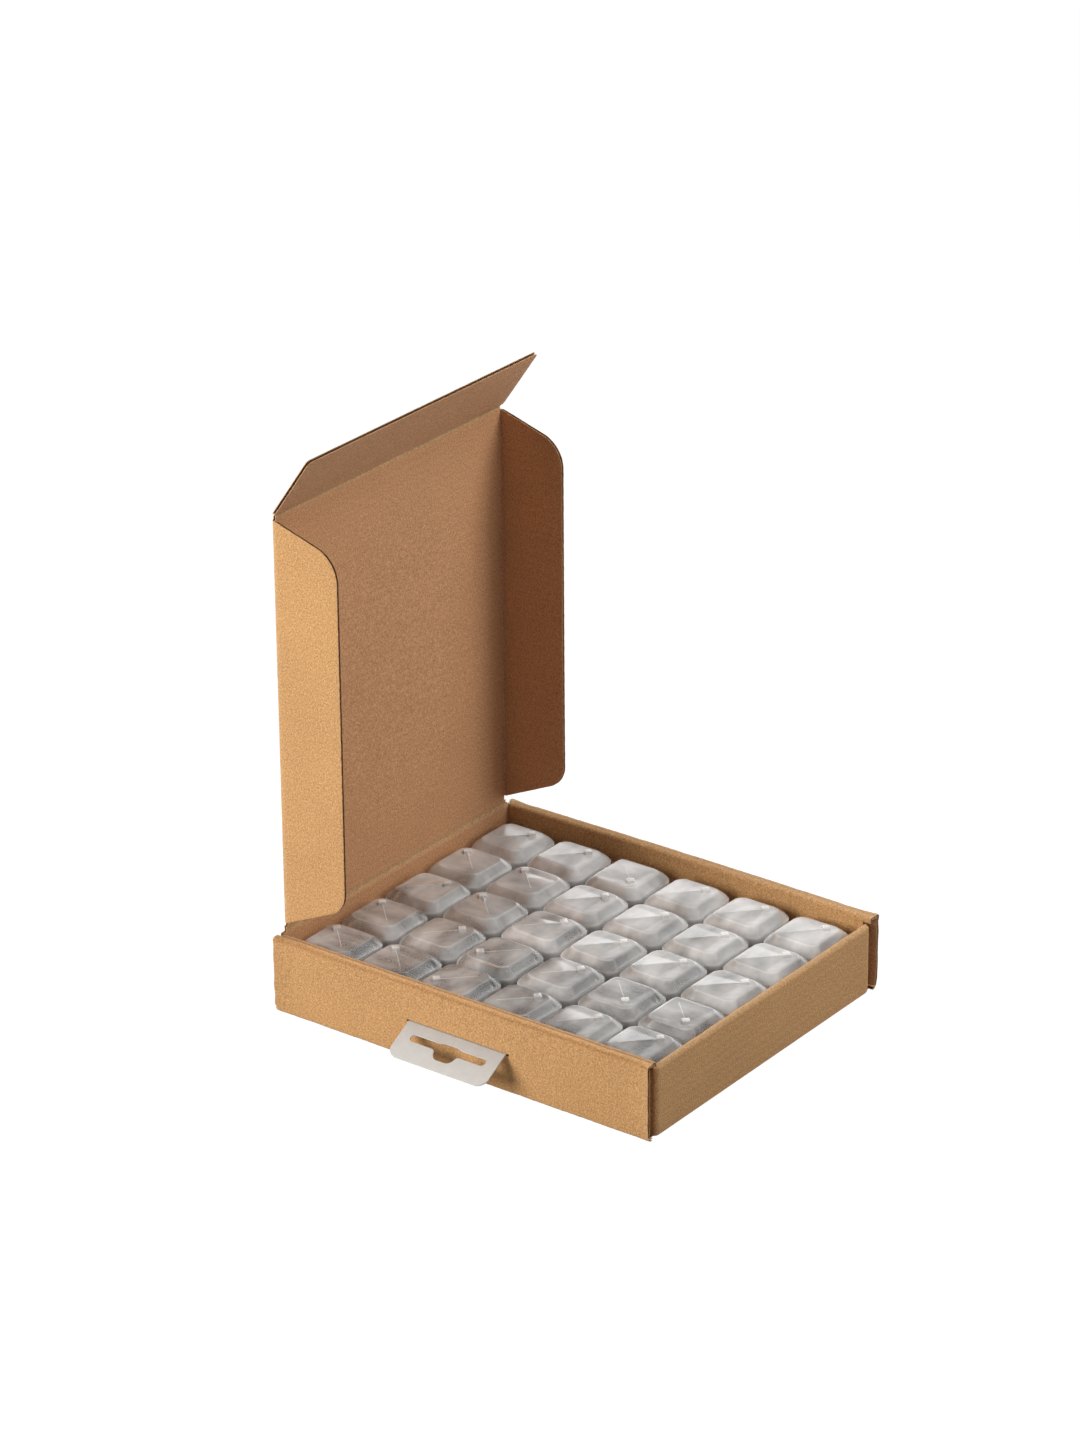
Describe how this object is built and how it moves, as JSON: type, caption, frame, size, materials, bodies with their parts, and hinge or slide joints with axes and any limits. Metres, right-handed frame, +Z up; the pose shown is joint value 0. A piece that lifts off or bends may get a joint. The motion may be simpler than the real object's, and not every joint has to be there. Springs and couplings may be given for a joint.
{
  "type": "bobbin box",
  "caption": "Kraft mailer carton with hinged tuck lid and hang tab, holding rows of small clear capped cases.",
  "frame": {"origin": "middle of the tray's underside, on the surface that the carton stands on", "axes": "+X to the right as seen from the front, away from the hang tab; +Y to the back, where the lid's crease is; +Z up"},
  "size_m": [0.151, 0.16, 0.2093],
  "materials": {
    "kraft_board": "matte kraft corrugated board",
    "kraft_lid": "matte kraft corrugated board",
    "clear_sheet": "clear plastic sheet, slightly frosted",
    "clear_case": "clear moulded plastic"
  },
  "bodies": {
    "tray": {"base_panel": "kraft_board", "back_wall": "kraft_board", "front_wall": "kraft_board", "left_wall": "kraft_board", "right_wall": "kraft_board", "front_left_flap": "kraft_board", "front_right_flap": "kraft_board", "back_left_flap": "kraft_board", "back_right_flap": "kraft_board", "hang_tab_anchor": "clear_sheet"},
    "lid": {"lid_panel": "kraft_lid"},
    "left_wing": {"lid_left_wing": "kraft_lid"},
    "right_wing": {"lid_right_wing": "kraft_lid"},
    "tuck": {"tuck_flap": "kraft_lid"},
    "hang": {"hang_tab": "clear_sheet"},
    "case_1_1": {"case_1_1": "clear_case"},
    "case_1_2": {"case_1_2": "clear_case"},
    "case_1_3": {"case_1_3": "clear_case"},
    "case_1_4": {"case_1_4": "clear_case"},
    "case_1_5": {"case_1_5": "clear_case"},
    "case_2_1": {"case_2_1": "clear_case"},
    "case_2_2": {"case_2_2": "clear_case"},
    "case_2_3": {"case_2_3": "clear_case"},
    "case_2_4": {"case_2_4": "clear_case"},
    "case_2_5": {"case_2_5": "clear_case"},
    "case_3_1": {"case_3_1": "clear_case"},
    "case_3_2": {"case_3_2": "clear_case"},
    "case_3_3": {"case_3_3": "clear_case"},
    "case_3_4": {"case_3_4": "clear_case"},
    "case_3_5": {"case_3_5": "clear_case"},
    "case_4_1": {"case_4_1": "clear_case"},
    "case_4_2": {"case_4_2": "clear_case"},
    "case_4_3": {"case_4_3": "clear_case"},
    "case_4_4": {"case_4_4": "clear_case"},
    "case_4_5": {"case_4_5": "clear_case"},
    "case_5_1": {"case_5_1": "clear_case"},
    "case_5_2": {"case_5_2": "clear_case"},
    "case_5_3": {"case_5_3": "clear_case"},
    "case_5_4": {"case_5_4": "clear_case"},
    "case_5_5": {"case_5_5": "clear_case"},
    "case_6_1": {"case_6_1": "clear_case"},
    "case_6_2": {"case_6_2": "clear_case"},
    "case_6_3": {"case_6_3": "clear_case"},
    "case_6_4": {"case_6_4": "clear_case"},
    "case_6_5": {"case_6_5": "clear_case"},
    "cap_1_1": {"cap_1_1": "clear_case"},
    "cap_1_2": {"cap_1_2": "clear_case"},
    "cap_1_3": {"cap_1_3": "clear_case"},
    "cap_1_4": {"cap_1_4": "clear_case"},
    "cap_1_5": {"cap_1_5": "clear_case"}
  },
  "joints": [
    {"name": "lid_hinge", "type": "hinge", "parent": "tray", "child": "lid", "pos_m": [0, 0.07935, 0.0302], "axis": [-1, 0, 0], "range_deg": [-90, 90]},
    {"name": "left_wing_hinge", "type": "hinge", "parent": "lid", "child": "left_wing", "pos_m": [-0.06335, 0.07935, 0.10792], "axis": [0, 0, -1], "range_deg": [0, 90]},
    {"name": "right_wing_hinge", "type": "hinge", "parent": "lid", "child": "right_wing", "pos_m": [0.06335, 0.07935, 0.10792], "axis": [0, 0, 1], "range_deg": [0, 90]},
    {"name": "tuck_hinge", "type": "hinge", "parent": "lid", "child": "tuck", "pos_m": [0, 0.07935, 0.18565], "axis": [-1, 0, 0], "range_deg": [-55, 35]},
    {"name": "hang_tab_hinge", "type": "hinge", "parent": "tray", "child": "hang", "pos_m": [-0.0692, 0, 0.01475], "axis": [0, 1, 0], "range_deg": [-62, 118]},
    {"name": "case_1_1_lift", "type": "slide", "parent": "tray", "child": "case_1_1", "axis": [0, 0, 1], "range_m": [0, 0.04]},
    {"name": "case_1_2_lift", "type": "slide", "parent": "tray", "child": "case_1_2", "axis": [0, 0, 1], "range_m": [0, 0.04]},
    {"name": "case_1_3_lift", "type": "slide", "parent": "tray", "child": "case_1_3", "axis": [0, 0, 1], "range_m": [0, 0.04]},
    {"name": "case_1_4_lift", "type": "slide", "parent": "tray", "child": "case_1_4", "axis": [0, 0, 1], "range_m": [0, 0.04]},
    {"name": "case_1_5_lift", "type": "slide", "parent": "tray", "child": "case_1_5", "axis": [0, 0, 1], "range_m": [0, 0.04]},
    {"name": "case_2_1_lift", "type": "slide", "parent": "tray", "child": "case_2_1", "axis": [0, 0, 1], "range_m": [0, 0.04]},
    {"name": "case_2_2_lift", "type": "slide", "parent": "tray", "child": "case_2_2", "axis": [0, 0, 1], "range_m": [0, 0.04]},
    {"name": "case_2_3_lift", "type": "slide", "parent": "tray", "child": "case_2_3", "axis": [0, 0, 1], "range_m": [0, 0.04]},
    {"name": "case_2_4_lift", "type": "slide", "parent": "tray", "child": "case_2_4", "axis": [0, 0, 1], "range_m": [0, 0.04]},
    {"name": "case_2_5_lift", "type": "slide", "parent": "tray", "child": "case_2_5", "axis": [0, 0, 1], "range_m": [0, 0.04]},
    {"name": "case_3_1_lift", "type": "slide", "parent": "tray", "child": "case_3_1", "axis": [0, 0, 1], "range_m": [0, 0.04]},
    {"name": "case_3_2_lift", "type": "slide", "parent": "tray", "child": "case_3_2", "axis": [0, 0, 1], "range_m": [0, 0.04]},
    {"name": "case_3_3_lift", "type": "slide", "parent": "tray", "child": "case_3_3", "axis": [0, 0, 1], "range_m": [0, 0.04]},
    {"name": "case_3_4_lift", "type": "slide", "parent": "tray", "child": "case_3_4", "axis": [0, 0, 1], "range_m": [0, 0.04]},
    {"name": "case_3_5_lift", "type": "slide", "parent": "tray", "child": "case_3_5", "axis": [0, 0, 1], "range_m": [0, 0.04]},
    {"name": "case_4_1_lift", "type": "slide", "parent": "tray", "child": "case_4_1", "axis": [0, 0, 1], "range_m": [0, 0.04]},
    {"name": "case_4_2_lift", "type": "slide", "parent": "tray", "child": "case_4_2", "axis": [0, 0, 1], "range_m": [0, 0.04]},
    {"name": "case_4_3_lift", "type": "slide", "parent": "tray", "child": "case_4_3", "axis": [0, 0, 1], "range_m": [0, 0.04]},
    {"name": "case_4_4_lift", "type": "slide", "parent": "tray", "child": "case_4_4", "axis": [0, 0, 1], "range_m": [0, 0.04]},
    {"name": "case_4_5_lift", "type": "slide", "parent": "tray", "child": "case_4_5", "axis": [0, 0, 1], "range_m": [0, 0.04]},
    {"name": "case_5_1_lift", "type": "slide", "parent": "tray", "child": "case_5_1", "axis": [0, 0, 1], "range_m": [0, 0.04]},
    {"name": "case_5_2_lift", "type": "slide", "parent": "tray", "child": "case_5_2", "axis": [0, 0, 1], "range_m": [0, 0.04]},
    {"name": "case_5_3_lift", "type": "slide", "parent": "tray", "child": "case_5_3", "axis": [0, 0, 1], "range_m": [0, 0.04]},
    {"name": "case_5_4_lift", "type": "slide", "parent": "tray", "child": "case_5_4", "axis": [0, 0, 1], "range_m": [0, 0.04]},
    {"name": "case_5_5_lift", "type": "slide", "parent": "tray", "child": "case_5_5", "axis": [0, 0, 1], "range_m": [0, 0.04]},
    {"name": "case_6_1_lift", "type": "slide", "parent": "tray", "child": "case_6_1", "axis": [0, 0, 1], "range_m": [0, 0.04]},
    {"name": "case_6_2_lift", "type": "slide", "parent": "tray", "child": "case_6_2", "axis": [0, 0, 1], "range_m": [0, 0.04]},
    {"name": "case_6_3_lift", "type": "slide", "parent": "tray", "child": "case_6_3", "axis": [0, 0, 1], "range_m": [0, 0.04]},
    {"name": "case_6_4_lift", "type": "slide", "parent": "tray", "child": "case_6_4", "axis": [0, 0, 1], "range_m": [0, 0.04]},
    {"name": "case_6_5_lift", "type": "slide", "parent": "tray", "child": "case_6_5", "axis": [0, 0, 1], "range_m": [0, 0.04]},
    {"name": "cap_1_1_pull", "type": "slide", "parent": "case_1_1", "child": "cap_1_1", "axis": [0, 0, 1], "range_m": [0, 0.012]},
    {"name": "cap_1_2_pull", "type": "slide", "parent": "case_1_2", "child": "cap_1_2", "axis": [0, 0, 1], "range_m": [0, 0.012]},
    {"name": "cap_1_3_pull", "type": "slide", "parent": "case_1_3", "child": "cap_1_3", "axis": [0, 0, 1], "range_m": [0, 0.012]},
    {"name": "cap_1_4_pull", "type": "slide", "parent": "case_1_4", "child": "cap_1_4", "axis": [0, 0, 1], "range_m": [0, 0.012]},
    {"name": "cap_1_5_pull", "type": "slide", "parent": "case_1_5", "child": "cap_1_5", "axis": [0, 0, 1], "range_m": [0, 0.012]}
  ]
}
